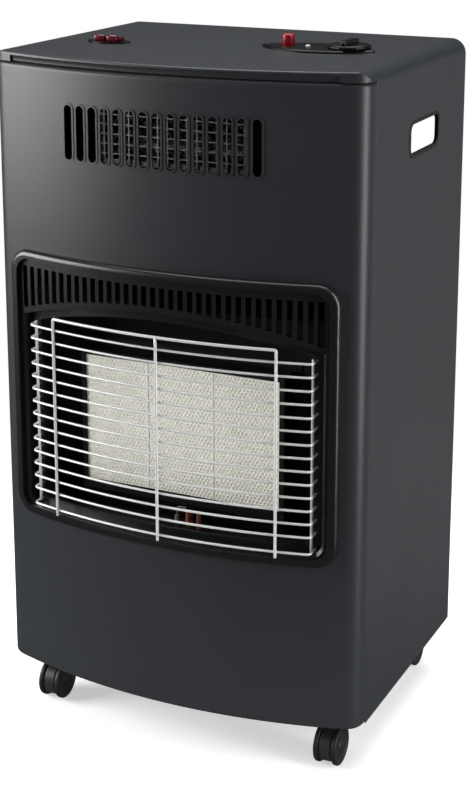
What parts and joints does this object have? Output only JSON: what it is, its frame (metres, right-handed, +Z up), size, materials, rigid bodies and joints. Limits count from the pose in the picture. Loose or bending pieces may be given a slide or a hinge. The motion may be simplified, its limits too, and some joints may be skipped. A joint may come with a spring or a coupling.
{
  "type": "portable gas cabinet heater",
  "caption": "Tall bowed-front cabinet heater on swivel casters: radiant gas plaques behind a wire guard, fan outlet above, controls on top, bottle bay behind a lift-off cover.",
  "frame": {"origin": "on the floor, under the middle of the whole object's bounding box", "axes": "+X to the right of someone facing the heater's front, +Y from the front to the back, +Z up; the front faces -Y"},
  "size_m": [0.4202, 0.382, 0.7549],
  "materials": {
    "cabinet_paint": "satin dark charcoal, fine orange-peel",
    "bezel_paint": "semi-matt black heat-proof paint",
    "guard_wire": "bright nickel-chrome plate",
    "liner_steel": "sheet steel, blackened by heat",
    "structure_steel": "galvanised sheet",
    "burner_steel": "heat-stained steel",
    "plaque_ceramic": "unglazed cream, perforated face",
    "gas_aluminium": "extruded",
    "gas_brass": "turned",
    "pilot_copper": "copper-coloured, heat-tinted",
    "electrode_ceramic": "white glazed sleeve",
    "control_black": "smooth black moulding",
    "housing_black": "moulded",
    "switch_red": "moulded red",
    "lamp_white": "translucent white lens",
    "fan_aluminium": "formed drum",
    "motor_steel": "lacquered",
    "element_steel": "oxidised ribbon in a steel frame",
    "zinc": "zinc plated",
    "caster_plastic": "moulded nylon",
    "wheel_plastic": "moulded nylon tread"
  },
  "bodies": {
    "root": {"base_tray": "structure_steel", "bulkhead": "structure_steel", "burner_body": "burner_steel", "burner_frame": "burner_steel", "cabinet_wrapper": "cabinet_paint", "cable_gland": "housing_black", "caster_front_left_plate": "zinc", "caster_front_right_plate": "zinc", "caster_rear_left_plate": "zinc", "caster_rear_right_plate": "zinc", "caster_screws": "zinc", "ceramic_plaque_centre": "plaque_ceramic", "ceramic_plaque_left": "plaque_ceramic", "ceramic_plaque_right": "plaque_ceramic", "control_plate": "control_black", "control_valve": "gas_brass", "fan_housing": "structure_steel", "fan_motor": "motor_steel", "firebox_bezel": "bezel_paint", "firebox_liner": "liner_steel", "front_panel": "cabinet_paint", "gas_manifold": "gas_aluminium", "gas_pipe": "gas_aluminium", "handle_grip_left": "housing_black", "handle_grip_right": "housing_black", "heater_element": "element_steel", "hose_tail": "gas_brass", "indicator_lamp": "lamp_white", "injectors": "gas_brass", "outlet_mesh": "element_steel", "piezo_igniter": "housing_black", "pilot_bracket": "burner_steel", "pilot_burner": "pilot_copper", "pilot_pipe": "gas_aluminium", "rear_rail": "cabinet_paint", "spark_electrode": "electrode_ceramic", "switch_housing": "housing_black", "switch_plate": "control_black", "thermocouple": "pilot_copper", "top_fascia": "cabinet_paint", "wire_guard": "guard_wire"},
    "control_knob": {"control_knob": "control_black", "valve_spindle": "gas_brass"},
    "piezo_button": {"piezo_button": "switch_red"},
    "rocker_left": {"rocker_switch_left": "switch_red"},
    "rocker_right": {"rocker_switch_right": "switch_red"},
    "fan_drum": {"fan_impeller": "fan_aluminium"},
    "rear_cover": {"rear_cover": "cabinet_paint"},
    "caster_front_left_hood": {"caster_front_left_hood": "caster_plastic"},
    "caster_front_left_wheel_left": {"caster_front_left_wheel_left": "wheel_plastic"},
    "caster_front_left_wheel_right": {"caster_front_left_wheel_right": "wheel_plastic"},
    "caster_front_right_hood": {"caster_front_right_hood": "caster_plastic"},
    "caster_front_right_wheel_left": {"caster_front_right_wheel_left": "wheel_plastic"},
    "caster_front_right_wheel_right": {"caster_front_right_wheel_right": "wheel_plastic"},
    "caster_rear_left_hood": {"caster_rear_left_hood": "caster_plastic"},
    "caster_rear_left_wheel_left": {"caster_rear_left_wheel_left": "wheel_plastic"},
    "caster_rear_left_wheel_right": {"caster_rear_left_wheel_right": "wheel_plastic"},
    "caster_rear_right_hood": {"caster_rear_right_hood": "caster_plastic"},
    "caster_rear_right_wheel_left": {"caster_rear_right_wheel_left": "wheel_plastic"},
    "caster_rear_right_wheel_right": {"caster_rear_right_wheel_right": "wheel_plastic"}
  },
  "joints": [
    {"name": "knob_turn", "type": "hinge", "parent": "root", "child": "control_knob", "pos_m": [0.134, -0.012, 0.745], "axis": [0, 0, 1], "range_deg": [0, 200]},
    {"name": "piezo_press", "type": "slide", "parent": "root", "child": "piezo_button", "axis": [0, 0, -1], "range_m": [0, 0.006], "stiffness_N_per_m": 600},
    {"name": "rocker_left_tilt", "type": "hinge", "parent": "root", "child": "rocker_left", "pos_m": [-0.1335, -0.05, 0.7386], "axis": [1, 0, 0], "range_deg": [0, 20]},
    {"name": "rocker_right_tilt", "type": "hinge", "parent": "root", "child": "rocker_right", "pos_m": [-0.1185, -0.05, 0.7386], "axis": [1, 0, 0], "range_deg": [0, 20]},
    {"name": "fan_spin", "type": "hinge", "parent": "root", "child": "fan_drum", "pos_m": [0.008, -0.122, 0.664], "axis": [1, 0, 0], "continuous": true},
    {"name": "cover_tilt", "type": "hinge", "parent": "root", "child": "rear_cover", "pos_m": [0, 0.1434, 0.0598], "axis": [-1, 0, 0], "range_deg": [0, 50]},
    {"name": "caster_front_left_swivel", "type": "hinge", "parent": "root", "child": "caster_front_left_hood", "pos_m": [-0.168, -0.104, 0.05], "axis": [0, 0, 1], "continuous": true},
    {"name": "caster_front_left_roll_left", "type": "hinge", "parent": "caster_front_left_hood", "child": "caster_front_left_wheel_left", "pos_m": [-0.1781, -0.12, 0.021], "axis": [1, 0, 0], "continuous": true},
    {"name": "caster_front_left_roll_right", "type": "hinge", "parent": "caster_front_left_hood", "child": "caster_front_left_wheel_right", "pos_m": [-0.1579, -0.12, 0.021], "axis": [1, 0, 0], "continuous": true},
    {"name": "caster_front_right_swivel", "type": "hinge", "parent": "root", "child": "caster_front_right_hood", "pos_m": [0.168, -0.104, 0.05], "axis": [0, 0, 1], "continuous": true},
    {"name": "caster_front_right_roll_left", "type": "hinge", "parent": "caster_front_right_hood", "child": "caster_front_right_wheel_left", "pos_m": [0.1579, -0.12, 0.021], "axis": [1, 0, 0], "continuous": true},
    {"name": "caster_front_right_roll_right", "type": "hinge", "parent": "caster_front_right_hood", "child": "caster_front_right_wheel_right", "pos_m": [0.1781, -0.12, 0.021], "axis": [1, 0, 0], "continuous": true},
    {"name": "caster_rear_left_swivel", "type": "hinge", "parent": "root", "child": "caster_rear_left_hood", "pos_m": [-0.168, 0.108, 0.05], "axis": [0, 0, 1], "continuous": true},
    {"name": "caster_rear_left_roll_left", "type": "hinge", "parent": "caster_rear_left_hood", "child": "caster_rear_left_wheel_left", "pos_m": [-0.1781, 0.124, 0.021], "axis": [1, 0, 0], "continuous": true},
    {"name": "caster_rear_left_roll_right", "type": "hinge", "parent": "caster_rear_left_hood", "child": "caster_rear_left_wheel_right", "pos_m": [-0.1579, 0.124, 0.021], "axis": [1, 0, 0], "continuous": true},
    {"name": "caster_rear_right_swivel", "type": "hinge", "parent": "root", "child": "caster_rear_right_hood", "pos_m": [0.168, 0.108, 0.05], "axis": [0, 0, 1], "continuous": true},
    {"name": "caster_rear_right_roll_left", "type": "hinge", "parent": "caster_rear_right_hood", "child": "caster_rear_right_wheel_left", "pos_m": [0.1579, 0.124, 0.021], "axis": [1, 0, 0], "continuous": true},
    {"name": "caster_rear_right_roll_right", "type": "hinge", "parent": "caster_rear_right_hood", "child": "caster_rear_right_wheel_right", "pos_m": [0.1781, 0.124, 0.021], "axis": [1, 0, 0], "continuous": true}
  ]
}
